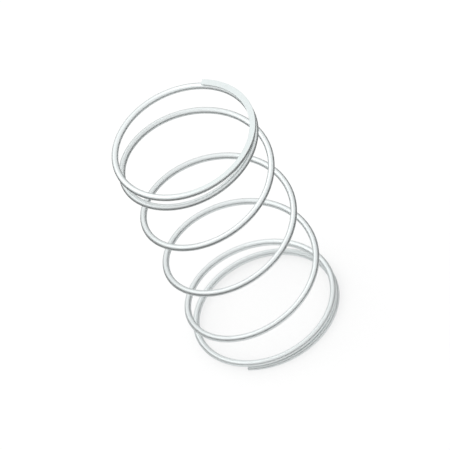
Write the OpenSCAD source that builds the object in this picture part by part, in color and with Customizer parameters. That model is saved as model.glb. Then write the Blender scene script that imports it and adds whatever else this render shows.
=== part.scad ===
// Compression spring: a cylindrical coil of round wire with closed and ground ends.
// The spring stands on its lower ground end at z = 0, with its axis along Z.
// The wire starts at the lower tip on the +X side and climbs anticlockwise, seen from above.

/* [Wire] */
// Diameter of the round spring wire
wire_d = 1.1; // [0.8:0.05:1.5]

/* [Coil] */
// Outside diameter, measured over the wire
outer_d = 25.4; // [18:0.2:40]
// Free length, from one ground end to the other
free_length = 46; // [34:0.5:80]
// Turns of wire from tip to tip
total_turns = 6.5; // [5.5:0.25:8]
// Hand of the helix
coil_hand = "right"; // [right, left]

/* [Ends] */
// Turns at each end that are wound close
closed_turns = 1; // [0.75:0.05:1.25]
// Turns over which the pitch opens from close to full
opening_turns = 1; // [0.5:0.05:1.5]
// Air gap between a tip and the turn beside it
tip_gap = 0.03; // [0.02:0.01:0.2]
// Thickness of wire left at each tip by the grinding
tip_thickness = 0.55; // [0.3:0.05:0.7]

/* [Smoothness] */
// Sides of the wire's section
wire_sides = 16; // [8:2:16]
// Steps around each turn
turn_steps = 48; // [24:4:48]

/* [Hidden] */

wire_r = wire_d / 2;
coil_r = (outer_d - wire_d) / 2;
rings = ceil(total_turns * turn_steps);

// Height of the wire's centre above the ground plane, at a tip
tip_z = tip_thickness - wire_r;

// Pitch of the close turns, and the pitch of the working turns that makes up the free length
closed_pitch = wire_d + tip_gap;
climb_total = free_length - 2 * tip_z;
turns_at_full_pitch = total_turns - 2 * closed_turns - opening_turns;
extra_pitch = (climb_total - closed_pitch * total_turns) / turns_at_full_pitch;

// Share of the extra pitch reached t turns from an end: 0 when close, then a straight ramp up to 1
function opened(t) = min(max((t - closed_turns) / opening_turns, 0), 1);

// The same share summed over the first t turns
function opened_sum(t) =
    let (along = t - closed_turns)
    along <= 0 ? 0
    : along < opening_turns ? along * along / (2 * opening_turns)
    : along - opening_turns / 2;

// Climb of the wire over the first t turns from an end
function climb(t) = closed_pitch * t + extra_pitch * opened_sum(t);

// Height of the wire's centre t turns from the lower tip. The upper half repeats the lower one.
function wire_z(t) =
    t <= total_turns / 2
    ? tip_z + climb(t)
    : free_length - tip_z - climb(total_turns - t);

// Angle at which the wire climbs there
function lean(t) =
    let (from_end = min(t, total_turns - t))
    atan((closed_pitch + extra_pitch * opened(from_end)) / (2 * PI * coil_r));

// Point on the wire t turns along, at angle a round its section. The section is square to the wire.
function skin(t, a) =
    let (
        turn = 360 * t,
        out = coil_r + wire_r * cos(a),
        up = wire_r * sin(a),
        back = up * sin(lean(t))
    )
    [
        out * cos(turn) + back * sin(turn),
        out * sin(turn) - back * cos(turn),
        wire_z(t) + up * cos(lean(t))
    ];

// Number of the point at side j of ring i, counting the sides in a circle
function at(i, j) = i * wire_sides + j % wire_sides;

// The whole wire as wound, before its ends are ground
module wound_wire() {
    points = [
        for (i = [0 : rings], j = [0 : wire_sides - 1])
            skin(total_turns * i / rings, 360 * j / wire_sides)
    ];
    start_cap = [for (j = [wire_sides - 1 : -1 : 0]) at(0, j)];
    end_cap = [for (j = [0 : wire_sides - 1]) at(rings, j)];
    sides = [
        for (i = [0 : rings - 1], j = [0 : wire_sides - 1], half = [0, 1])
            half == 0
            ? [at(i, j), at(i + 1, j + 1), at(i + 1, j)]
            : [at(i, j), at(i, j + 1), at(i + 1, j + 1)]
    ];
    polyhedron(points, concat([start_cap], [end_cap], sides), convexity = 20);
}

// Space between the two grinding wheels, with room round the coil
module between_wheels() {
    room = wire_d;
    translate([0, 0, free_length / 2])
        cube([outer_d + 2 * room, outer_d + 2 * room, free_length], center = true);
}

// The spring: one length of wire, wound and then ground flat and square at both ends
module coil_spring() {
    color([0.91, 0.935, 0.935])
        mirror([0, coil_hand == "left" ? 1 : 0, 0])
            intersection() {
                wound_wire();
                between_wheels();
            }
}

coil_spring();
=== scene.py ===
import bpy
import numpy as np
from mathutils import Matrix, Vector


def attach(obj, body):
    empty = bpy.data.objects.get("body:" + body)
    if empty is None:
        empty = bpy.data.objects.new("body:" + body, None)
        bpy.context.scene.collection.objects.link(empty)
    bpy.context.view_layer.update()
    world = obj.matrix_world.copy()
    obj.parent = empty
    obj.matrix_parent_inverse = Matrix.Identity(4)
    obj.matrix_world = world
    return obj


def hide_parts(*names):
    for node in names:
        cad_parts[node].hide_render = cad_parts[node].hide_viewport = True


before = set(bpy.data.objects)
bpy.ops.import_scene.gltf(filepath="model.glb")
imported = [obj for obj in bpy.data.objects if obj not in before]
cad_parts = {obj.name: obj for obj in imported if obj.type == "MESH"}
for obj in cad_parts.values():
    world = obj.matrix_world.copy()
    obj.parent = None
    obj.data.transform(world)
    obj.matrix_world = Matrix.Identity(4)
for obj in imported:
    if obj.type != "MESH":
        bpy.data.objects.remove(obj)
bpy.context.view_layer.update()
mm = 0.001

# The spring in mm and turns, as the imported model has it, and how finely its wire is meshed
spring = {
    "wireDiameter": 1.1,
    "outerDiameter": 25.4,  # over the wire
    "freeLength": 46.0,
    "totalTurns": 6.5,
    "closedTurns": 1.0,  # wound close at each end
    "openingTurns": 1.0,  # over which the pitch opens
    "tipGap": 0.03,  # air between a tip and the turn beside it
    "tipThickness": 0.55,  # what the grinding leaves at a tip
    "edgeBreak": 0.03,  # rounding of the ground edges and of the cut tips
    "ringsPerTurn": 168,
    "tipRings": 6,  # over the rounding of each tip
    "runOutRings": 11,  # more of them where each flat runs out
    "runOutSpan": (-0.02, 0.00128),  # turns from the run-out between which those stand
    "roundSides": 42,  # points of each ring on the round of the wire
    "roundCrowding": 0.75,  # how much these gather at the flat's edges, from 0 for not at all
    "flatSides": 10,  # points of each ring that the grinding may flatten
    "seamHalfAngle": 7.0,  # degrees each way that those keep where nothing is ground
    "tipInset": 0.8,  # size of the ring inside each cut tip, as a share of the tip
    "skinStrips": 12,  # that the unrolled skin is cut into
    "skinGap": 0.03,  # left free at each side of a strip, as a share of its width
}
wireRadius = spring["wireDiameter"] / 2
coilRadius = (spring["outerDiameter"] - spring["wireDiameter"]) / 2
tipHeight = spring["tipThickness"] - wireRadius
closePitch = spring["wireDiameter"] + spring["tipGap"]
fullTurns = spring["totalTurns"] - 2 * spring["closedTurns"] - spring["openingTurns"]
closeClimb = closePitch * spring["totalTurns"]
extraPitch = (spring["freeLength"] - 2 * tipHeight - closeClimb) / fullTurns


# Climb from a tip: the close pitch all the way, plus the extra pitch summed over a straight ramp
# and then in full.
def climbFromTip(turns):
    along = turns - spring["closedTurns"]
    opening = spring["openingTurns"]
    opened = np.clip(along, 0, opening) ** 2 / (2 * opening) + np.maximum(along - opening, 0)
    return closePitch * turns + extraPitch * opened


# Height of the wire's centre and the angle that it climbs at. The upper half is the lower one
# turned end for end.
def wirePath(turns):
    total = spring["totalTurns"]
    fromBelow = tipHeight + climbFromTip(turns)
    fromAbove = spring["freeLength"] - tipHeight - climbFromTip(total - turns)
    height = np.where(turns <= total / 2, fromBelow, fromAbove)
    pastClosed = np.minimum(turns, total - turns) - spring["closedTurns"]
    pitch = closePitch + extraPitch * np.clip(pastClosed / spring["openingTurns"], 0, 1)
    return height, np.arctan(pitch / (2 * np.pi * coilRadius))


# Where the rings stand, in turns: evenly, closer over the rounding of each tip, which is a
# quarter circle, and closer where each flat runs out, as the cubes of evenly spread numbers.
def ringPlaces():
    total = spring["totalTurns"]
    even = np.linspace(0, total, int(total * spring["ringsPerTurn"]) + 1)
    quarter = np.radians(np.linspace(0, 90, spring["tipRings"]))
    overTip = spring["edgeBreak"] * (1 - np.cos(quarter)) / (2 * np.pi * coilRadius)
    runOut = (wireRadius - tipHeight) / closePitch
    nearRunOut = runOut + np.linspace(*np.cbrt(spring["runOutSpan"]), spring["runOutRings"]) ** 3
    extra = np.concatenate([overTip, nearRunOut])
    return np.unique(np.concatenate([even, extra, total - extra]).round(7))


# Half of the angle that the flat takes out of each ring, and the side that it lies on: below in
# the lower turns, above in the upper ones, and turning over smoothly between them, where nothing
# is ground.
def flatOfRings(turns, height, lean, radius):
    total = spring["totalTurns"]
    depth = np.minimum(height, spring["freeLength"] - height) / (radius * np.cos(lean))
    half = np.maximum(np.arccos(np.clip(depth, -1, 1)), np.radians(spring["seamHalfAngle"]))
    settled = spring["closedTurns"] + spring["openingTurns"]
    over = np.clip((turns - settled) / (total - 2 * settled), 0, 1)
    return half, np.pi * (over * over * (3 - 2 * over) - 0.5)


# The angles of a ring's points: those on the flat, then those on the round. Both kinds stand
# closest together at the flat's edges.
def ringAngles(half, flatSide):
    across = np.arange(spring["flatSides"])[None, :] / spring["flatSides"]
    rounding = np.arange(spring["roundSides"])[None, :] / spring["roundSides"]
    crowding = spring["roundCrowding"] / (2 * np.pi)
    eased = rounding - crowding * np.sin(2 * np.pi * rounding)
    onFlat = flatSide - half * np.cos(np.pi * across)
    onRound = flatSide + half + (2 * np.pi - 2 * half) * eased
    return np.concatenate([onFlat, onRound], axis=1)


# Height after grinding: steel past the wheel's plane goes, and a parabola as wide as the edge
# break rounds the corner. With it comes the share of each point that is ground.
def ground(height, plane, inward):
    edge = spring["edgeBreak"]
    inside = inward * (height - plane)
    kept = np.maximum(inside - edge, 0) + np.clip(inside + edge, 0, 2 * edge) ** 2 / (4 * edge)
    return plane + inward * kept, np.clip(0.5 - inside / (2 * edge), 0, 1)


# The wire: a circle square to the path, carried along it. A point is the path's centre plus the
# radius times (cosine of its angle outwards, sine of its angle up across the wire), and is then
# ground to the two planes. The radius shrinks along a quarter circle at each cut tip.
def wireSurface():
    total, edge = spring["totalTurns"], spring["edgeBreak"]
    turns = ringPlaces()[:, None]
    height, lean = wirePath(turns)
    turnLength = 2 * np.pi * coilRadius / np.cos(lean)
    fromTip = np.minimum(np.minimum(turns, total - turns) * turnLength, edge)
    radius = wireRadius - edge + np.sqrt(fromTip * (2 * edge - fromTip))
    angle = ringAngles(*flatOfRings(turns, height, lean, radius))
    outward, upward = radius * np.cos(angle), radius * np.sin(angle)
    azimuth = 2 * np.pi * turns
    reach = coilRadius + outward
    back = upward * np.sin(lean)
    x = reach * np.cos(azimuth) + back * np.sin(azimuth)
    y = reach * np.sin(azimuth) - back * np.cos(azimuth)
    z, lowerCut = ground(height + upward * np.cos(lean), 0.0, 1)
    z, upperCut = ground(z, spring["freeLength"], -1)
    places = np.stack([x, y, z], axis=2)
    # the same points on the wire as if it were pulled straight, for patterns that follow it
    steps = np.diff(turns[:, 0]) * (turnLength[1:, 0] + turnLength[:-1, 0]) / 2
    travelled = np.concatenate([[0.0], np.cumsum(steps)])
    straight = np.stack([np.broadcast_to(travelled[:, None], angle.shape), outward, upward], axis=2)
    return places, straight, np.maximum(lowerCut, upperCut)


# Closes a tube's values: rings, a smaller ring inside each end and the middle of each end.
def closedTube(values):
    first, last = values[0], values[-1]
    startPole, endPole = first.mean(0), last.mean(0)
    innerStart = startPole + spring["tipInset"] * (first - startPole)
    innerEnd = endPole + spring["tipInset"] * (last - endPole)
    rings = np.concatenate([innerStart[None], values, innerEnd[None]])
    return np.concatenate([rings.reshape(-1, values.shape[2]), startPole[None], endPole[None]])


# Its faces: four-sided ones between neighbouring rings, and triangles round the two middles.
def tubeFaces(ringCount, sides):
    ring, side = np.meshgrid(np.arange(ringCount - 1), np.arange(sides), indexing="ij")
    here, beside = ring * sides + side, ring * sides + (side + 1) % sides
    quads = np.stack([here, here + sides, beside + sides, beside], axis=2)
    rim = np.arange(sides)
    after = (rim + 1) % sides
    startPole = ringCount * sides
    lastRing = (ringCount - 1) * sides
    startFan = np.stack([np.full(sides, startPole), rim, after], axis=1)
    endFan = np.stack([np.full(sides, startPole + 1), lastRing + after, lastRing + rim], axis=1)
    return quads.reshape(-1, 4).tolist() + startFan.tolist() + endFan.tolist()


# The skin unrolled: the wire's length is cut into equal strips that lie above one another in a
# square. Along a strip runs the distance along the wire, and across it the distance round the
# wire as a share of the whole way round. The result is a place for each corner of each face.
def unrolledCorners(points, travelled, sides):
    rings = points[:-2].reshape(-1, sides, 3)
    steps = np.linalg.norm(np.roll(rings, -1, axis=1) - rings, axis=2)
    share = np.concatenate([np.zeros((len(rings), 1)), np.cumsum(steps, axis=1)], axis=1)
    share /= share[:, -1:]
    inset = (1 - spring["tipInset"]) * wireRadius
    along = np.concatenate([travelled[:1] - inset, travelled, travelled[-1:] + inset])
    start, end = travelled[0] - wireRadius, travelled[-1] + wireRadius
    # the strip that each band of faces lies in, and where that strip starts along the wire
    strips, gap = spring["skinStrips"], spring["skinGap"]
    strip = ((along[1:] + along[:-1]) / 2 - start) // ((end - start) / strips)
    first = along[np.searchsorted(strip, np.arange(strips))]
    first[0] = start
    longest = np.diff(np.append(first, end)).max()
    stripStart = first[strip.astype(int)]
    margin = gap / strips

    def mapAlong(distance):
        return margin + (1 - 2 * margin) * (distance - stripStart) / longest

    def mapRound(roundShare):
        return (strip[:, None] + gap + (1 - 2 * gap) * roundShare) / strips

    near, far = mapAlong(along[:-1]), mapAlong(along[1:])
    nearRound, farRound = mapRound(share[:-1]), mapRound(share[1:])
    quadAlong = np.stack([near, far, far, near], axis=1)[:, None]
    quadAlong = np.broadcast_to(quadAlong, (len(near), sides, 4))
    quadRound = [nearRound[:, :-1], farRound[:, :-1], farRound[:, 1:], nearRound[:, 1:]]
    quads = np.stack([quadAlong, np.stack(quadRound, axis=2)], axis=3)

    def fan(poleAlong, ringAlong, here, after):
        fanAlong = np.broadcast_to([poleAlong, ringAlong, ringAlong], (sides, 3))
        return np.stack([fanAlong, np.stack([(here + after) / 2, here, after], axis=1)], axis=2)

    startFan = fan(margin, near[0], nearRound[0, :-1], nearRound[0, 1:])
    endFan = fan(1 - margin, far[-1], farRound[-1, 1:], farRound[-1, :-1])
    return np.concatenate([part.reshape(-1, 2) for part in (quads, startFan, endFan)])


def makeWire():
    places, straight, cut = wireSurface()
    ringCount, sides = places.shape[0] + 2, places.shape[1]
    points = closedTube(places)
    mesh = bpy.data.meshes.new("springWire")
    mesh.from_pydata((points * mm).tolist(), [], tubeFaces(ringCount, sides))
    corners = unrolledCorners(points, straight[:, 0, 0], sides)
    skin = mesh.uv_layers.new(name="OFBake")
    skin.data.foreach_set("uv", corners.astype(np.float32).ravel())
    pulled = mesh.attributes.new("straightened", "FLOAT_VECTOR", "POINT")
    pulled.data.foreach_set("vector", (closedTube(straight) * mm).astype(np.float32).ravel())
    cutShare = mesh.attributes.new("groundShare", "FLOAT", "POINT")
    cutShare.data.foreach_set("value", closedTube(cut[:, :, None]).astype(np.float32).ravel())
    mesh.polygons.foreach_set("use_smooth", np.ones(len(mesh.polygons), bool))
    mesh.update()
    wire = bpy.data.objects.new("springWire", mesh)
    bpy.context.scene.collection.objects.link(wire)
    return wire


# Bright drawn steel and its ground faces. A pair of values is the least and the most that a
# pattern gives. A pattern's grains have a width and a length in mm and a turn in degrees from
# the X axis, and its shade is what it multiplies the colour by.
steel = {
    "colour": (0.833, 0.871, 0.871),
    # the ground faces' colour: their own finish, made darker than the wire's as painted shade on
    # the upward-facing flats
    "groundShadedColour": (0.738, 0.787, 0.785),
    "edgeTint": (0.45, 0.45, 0.45),  # share of the usual mirroring that is left at a glancing angle
    "roughness": (0.42, 0.54),
    "groundRoughness": (0.35, 0.5),
    "drawnLines": {"width": 0.045, "length": 18.0, "turn": 0.0, "detail": 3, "shade": (0.94, 1.03)},
    "longTones": {"width": 1.125, "length": 9.0, "turn": 0.0, "detail": 2, "shade": (0.965, 1.02)},
    "scratches": {"width": 0.03, "length": 3.0, "turn": 28.0, "detail": 4, "shade": (0.93, 1.03)},
    "grainContrast": 0.55,  # how strong the finer grains of each pattern are
    "reliefDepth": 0.004,  # mm
    "reliefStrength": 0.35,
}
noiseSpan = (0.3, 0.7)  # where nearly all of a noise pattern's values lie


def addNode(tree, kind, place, **settings):
    node = tree.nodes.new(kind)
    node.location = place
    for name, value in settings.items():
        setattr(node, name, value)
    return node


# Gives a socket a plain number or colour, or links another node's output to it
def feed(tree, socket, value):
    if isinstance(value, tuple):
        socket.default_value = (*value, 1)
    elif isinstance(value, (int, float)):
        socket.default_value = value
    else:
        tree.links.new(value, socket)


# Noise drawn out along the vector's first axis, before which the vector may be turned
def stretchedNoise(tree, vector, place, pattern):
    mapping = addNode(tree, "ShaderNodeMapping", place)
    mapping.inputs["Rotation"].default_value = (0, 0, np.radians(pattern["turn"]))
    mapping.inputs["Scale"].default_value = (pattern["width"] / pattern["length"], 1, 1)
    noise = addNode(tree, "ShaderNodeTexNoise", (place[0] + 180, place[1]))
    noise.inputs["Scale"].default_value = 1 / (pattern["width"] * mm)
    noise.inputs["Detail"].default_value = pattern["detail"]
    noise.inputs["Roughness"].default_value = steel["grainContrast"]
    tree.links.new(vector, mapping.inputs["Vector"])
    tree.links.new(mapping.outputs["Vector"], noise.inputs["Vector"])
    return noise.outputs["Fac"]


def ranged(tree, value, place, result, source=noiseSpan):
    node = addNode(tree, "ShaderNodeMapRange", place)
    for name, number in zip(("From Min", "From Max", "To Min", "To Max"), (*source, *result)):
        node.inputs[name].default_value = number
    tree.links.new(value, node.inputs["Value"])
    return node.outputs["Result"]


def mathOf(tree, operation, place, first, second):
    node = addNode(tree, "ShaderNodeMath", place, operation=operation)
    feed(tree, node.inputs[0], first)
    feed(tree, node.inputs[1], second)
    return node.outputs[0]


# A mix node's sockets for numbers and for colours share their names, so they go by identifier
def mixed(tree, kind, place, factor, first, second):
    node = addNode(tree, "ShaderNodeMix", place, data_type=kind)
    ending = {"FLOAT": "Float", "RGBA": "Color"}[kind]
    sockets = {socket.identifier: socket for socket in (*node.inputs, *node.outputs)}
    feed(tree, sockets["Factor_Float"], factor)
    feed(tree, sockets["A_" + ending], first)
    feed(tree, sockets["B_" + ending], second)
    return sockets["Result_" + ending]


def makeSteel():
    material = bpy.data.materials.new("drawnSteel")
    material.use_nodes = True
    tree = material.node_tree
    shader = tree.nodes["Principled BSDF"]
    shader.inputs["Metallic"].default_value = 1.0
    shader.inputs["Specular Tint"].default_value = (*steel["edgeTint"], 1)
    pulled = addNode(tree, "ShaderNodeAttribute", (-1500, 300), attribute_name="straightened")
    groundShare = addNode(tree, "ShaderNodeAttribute", (-1500, -500), attribute_name="groundShare")
    place = addNode(tree, "ShaderNodeTexCoord", (-1500, -200)).outputs["Object"]
    alongWire, cut = pulled.outputs["Vector"], groundShare.outputs["Fac"]
    lines = stretchedNoise(tree, alongWire, (-1250, 300), steel["drawnLines"])
    tones = stretchedNoise(tree, alongWire, (-1250, 550), steel["longTones"])
    scratches = stretchedNoise(tree, place, (-1250, -200), steel["scratches"])
    # colour: the patterns darken or lighten the steel a little
    lineShade = ranged(tree, lines, (-900, 300), steel["drawnLines"]["shade"])
    toneShade = ranged(tree, tones, (-900, 550), steel["longTones"]["shade"])
    wireShade = mathOf(tree, "MULTIPLY", (-700, 450), lineShade, toneShade)
    groundShade = ranged(tree, scratches, (-900, -200), steel["scratches"]["shade"])
    # the ground faces take their own colour, darker than the wire's as painted shade on the flats
    plain = mixed(tree, "RGBA", (-500, 300), cut, steel["colour"], steel["groundShadedColour"])
    shaded = addNode(tree, "ShaderNodeVectorMath", (-300, 300), operation="SCALE")
    tree.links.new(plain, shaded.inputs[0])
    shade = mixed(tree, "FLOAT", (-500, 150), cut, wireShade, groundShade)
    tree.links.new(shade, shaded.inputs["Scale"])
    tree.links.new(shaded.outputs["Vector"], shader.inputs["Base Color"])
    # roughness: along the lines and scratches it is polished, between them it is duller
    wireRough = ranged(tree, lines, (-900, 50), steel["roughness"])
    groundRough = ranged(tree, scratches, (-900, -420), steel["groundRoughness"])
    rough = mixed(tree, "FLOAT", (-500, -50), cut, wireRough, groundRough)
    tree.links.new(rough, shader.inputs["Roughness"])
    # relief: shallow lines on the wire, grinding scratches on the flats
    bump = addNode(tree, "ShaderNodeBump", (-300, -250))
    bump.inputs["Strength"].default_value = steel["reliefStrength"]
    bump.inputs["Distance"].default_value = steel["reliefDepth"] * mm
    relief = mixed(tree, "FLOAT", (-500, -300), cut, lines, scratches)
    tree.links.new(relief, bump.inputs["Height"])
    tree.links.new(bump.outputs["Normal"], shader.inputs["Normal"])
    return material


wire = makeWire()
wire.data.materials.append(makeSteel())
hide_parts("coil_spring")
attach(wire, "root")
print("wire made:", len(wire.data.vertices), "points,", len(wire.data.polygons), "faces")

# The camera looks as the photograph does: from above, and turned on its side a little
view = {
    "azimuth": 34.92,  # degrees from the X axis towards Y, of the place that it looks from
    "elevation": 46.07,  # degrees above the floor
    "roll": -26.18,  # degrees that it is turned on its side
    "millimetresPerPixel": 1 / 6.004,
    "pixels": 450,
    "offset": (0.20, 0.23),  # pixels from the picture's middle to the spring's, right and up
    "distance": 0.4,  # m from the spring's middle
    "reach": (0.01, 10),  # m, the nearest and the farthest that it sees
}


# The picture's middle and its three directions, square to one another: from a level camera that
# faces the spring, tipped up by the elevation and then turned about its own line of sight
def viewFrame():
    azimuth, elevation, roll = np.radians([view["azimuth"], view["elevation"], view["roll"]])
    level = Vector((-np.sin(azimuth), np.cos(azimuth), 0))
    back = Matrix.Rotation(-elevation, 3, level) @ Vector((np.cos(azimuth), np.sin(azimuth), 0))
    right = Matrix.Rotation(roll, 3, back) @ level
    up = back.cross(right)
    pixel = view["millimetresPerPixel"] * mm
    middle = Vector((0, 0, spring["freeLength"] / 2 * mm))
    middle -= (right * view["offset"][0] + up * view["offset"][1]) * pixel
    return middle, right, up, back


def makeCamera():
    middle, right, up, back = viewFrame()
    data = bpy.data.cameras.new("camera")
    data.type = "ORTHO"
    data.ortho_scale = view["pixels"] * view["millimetresPerPixel"] * mm
    data.clip_start, data.clip_end = view["reach"]
    camera = bpy.data.objects.new("camera", data)
    turned = Matrix((right, up, back)).transposed().to_4x4()
    camera.matrix_world = Matrix.Translation(middle + back * view["distance"]) @ turned
    bpy.context.scene.collection.objects.link(camera)
    bpy.context.scene.camera = camera


# The studio: a pale floor, a lamp overhead, and what bright wire mirrors outside the picture, a
# dark bench and wall, whose darkness is painted shade in the wire's mirror images. Lengths are in
# metres where nothing else is said.
studio = {
    "floorSize": 6.0,
    "floorColour": (0.95, 0.95, 0.95),
    "floorWhite": 0.65,  # how much of plain white the camera and mirror images see in it
    "worldStrength": 1.01,
    "lampSize": 0.36,
    "lampPlace": (-0.03, -0.25, 0.5),
    "lampPower": 0.55,  # W
    "matt": 0.9,  # roughness of the floor and of the dark sheets of painted shade
    # the bench's and the wall's dark colours are painted shade, seen only in the wire's mirror
    # images
    "benchColour": (0.15, 0.15, 0.15),
    "benchMargin": 0.5,  # mm from the edge of the picture
    "benchHeight": 0.5,  # mm above the floor
    "benchSize": 1.2,
    "wallColour": (0.01, 0.01, 0.01),  # at its foot; painted shade in the wire's mirror images
    "wallTopColour": (0.9, 0.9, 0.9),
    "wallFade": (0.035, 0.115),  # the heights between which it goes from one to the other
    "wallDistance": 0.125,
    "wallHeight": 0.06,
    "wallArc": (-105.0, 180.0),  # degrees from the X axis towards Y
    "wallPanels": 24,
}


def plainMaterial(name, colour):
    material = bpy.data.materials.new(name)
    material.use_nodes = True
    shader = material.node_tree.nodes["Principled BSDF"]
    shader.inputs["Base Color"].default_value = (*colour, 1)
    shader.inputs["Roughness"].default_value = studio["matt"]
    shader.inputs["Specular IOR Level"].default_value = 0.0
    return material


# Mixes plain white into a material for what the camera, mirror images and glass see of it, and
# not for the light that it throws back
def whiten(material, share):
    tree = material.node_tree
    path = addNode(tree, "ShaderNodeLightPath", (-900, 300)).outputs
    seen = mathOf(tree, "MAXIMUM", (-700, 300), path["Is Camera Ray"], path["Is Glossy Ray"])
    seen = mathOf(tree, "MAXIMUM", (-500, 300), seen, path["Is Transmission Ray"])
    white = addNode(tree, "ShaderNodeEmission", (0, -300))
    blend = addNode(tree, "ShaderNodeMixShader", (350, 100))
    tree.links.new(mathOf(tree, "MULTIPLY", (-300, 300), seen, share), blend.inputs[0])
    tree.links.new(tree.nodes["Principled BSDF"].outputs[0], blend.inputs[1])
    tree.links.new(white.outputs[0], blend.inputs[2])
    tree.links.new(blend.outputs[0], tree.nodes["Material Output"].inputs["Surface"])


def stagePiece(name, points, faces, material, seenByCamera=True):
    mesh = bpy.data.meshes.new(name)
    mesh.from_pydata([tuple(p) for p in points], [], faces)
    mesh.materials.append(material)
    piece = bpy.data.objects.new(name, mesh)
    bpy.context.scene.collection.objects.link(piece)
    if not seenByCamera:  # it is there for the mirror images in the wire alone
        piece.visible_camera = piece.visible_diffuse = piece.visible_shadow = False


def makeFloor():
    half = studio["floorSize"] / 2
    corners = [(-half, -half, 0), (half, -half, 0), (half, half, 0), (-half, half, 0)]
    paper = plainMaterial("palePaper", studio["floorColour"])
    whiten(paper, studio["floorWhite"])
    stagePiece("studioFloor", corners, [(0, 1, 2, 3)], paper)


# The bench: a sheet just over the floor, round the patch of floor that the picture shows, seen only
# in the wire's mirror images, where its dark colour is painted shade along the wire's lower edges.
# Each inner corner is a corner of the picture, carried along the view to the floor.
def makeBench():
    middle, right, up, back = viewFrame()
    halfPicture = view["pixels"] * view["millimetresPerPixel"] / 2
    reach = (halfPicture + studio["benchMargin"]) * mm
    lift = Vector((0, 0, studio["benchHeight"] * mm))
    inner, outer = [], []
    for across, along in ((-1, -1), (1, -1), (1, 1), (-1, 1)):
        corner = middle + (right * across + up * along) * reach
        corner -= back * (corner.z / back.z)
        inner.append(corner + lift)
        outer.append(corner.normalized() * studio["benchSize"] + lift)
    faces = [(i, 4 + i, 4 + (i + 1) % 4, (i + 1) % 4) for i in range(4)]
    # its dark colour is painted shade, seen only in the wire's mirror images
    shadeSheet = plainMaterial("benchPaintedShade", studio["benchColour"])
    stagePiece("darkBench", inner + outer, faces, shadeSheet, False)


# The wall: upright panels on an arc round the spring, paler towards the top, seen only in the
# wire's mirror images, where its dark foot is painted shade along the wire's edges
def makeWall():
    panels = studio["wallPanels"]
    turn = np.radians(np.linspace(*studio["wallArc"], panels + 1))
    foot = np.stack([np.cos(turn), np.sin(turn), 0 * turn], axis=1) * studio["wallDistance"]
    points = np.concatenate([foot, foot + (0, 0, studio["wallHeight"])])
    faces = [(i, i + panels + 1, i + panels + 2, i + 1) for i in range(panels)]
    shadeSheet = plainMaterial("wallPaintedShade", studio["wallColour"])
    tree = shadeSheet.node_tree
    place = addNode(tree, "ShaderNodeTexCoord", (-900, 0))
    split = addNode(tree, "ShaderNodeSeparateXYZ", (-700, 0))
    tree.links.new(place.outputs["Object"], split.inputs[0])
    fade = ranged(tree, split.outputs["Z"], (-500, 0), (0, 1), studio["wallFade"])
    ends = studio["wallColour"], studio["wallTopColour"]
    colour = mixed(tree, "RGBA", (-250, 0), fade, *ends)
    tree.links.new(colour, tree.nodes["Principled BSDF"].inputs["Base Color"])
    stagePiece("darkWall", points, faces, shadeSheet, False)


def makeLights():
    world = bpy.data.worlds.new("studioWorld")
    world.use_nodes = True
    background = world.node_tree.nodes["Background"]
    background.inputs["Color"].default_value = (1, 1, 1, 1)
    background.inputs["Strength"].default_value = studio["worldStrength"]
    bpy.context.scene.world = world
    lamp = bpy.data.lights.new("topLight", "AREA")
    lamp.shape = "SQUARE"
    lamp.size = studio["lampSize"]
    lamp.energy = studio["lampPower"]
    top = bpy.data.objects.new("topLight", lamp)
    top.location = studio["lampPlace"]
    top.rotation_euler = (-Vector(top.location)).to_track_quat("-Z", "Y").to_euler()
    bpy.context.scene.collection.objects.link(top)


makeFloor()
makeBench()
makeWall()
makeLights()
print("studio made")

makeCamera()
bpy.context.scene.view_settings.view_transform = "Standard"
print("camera set")
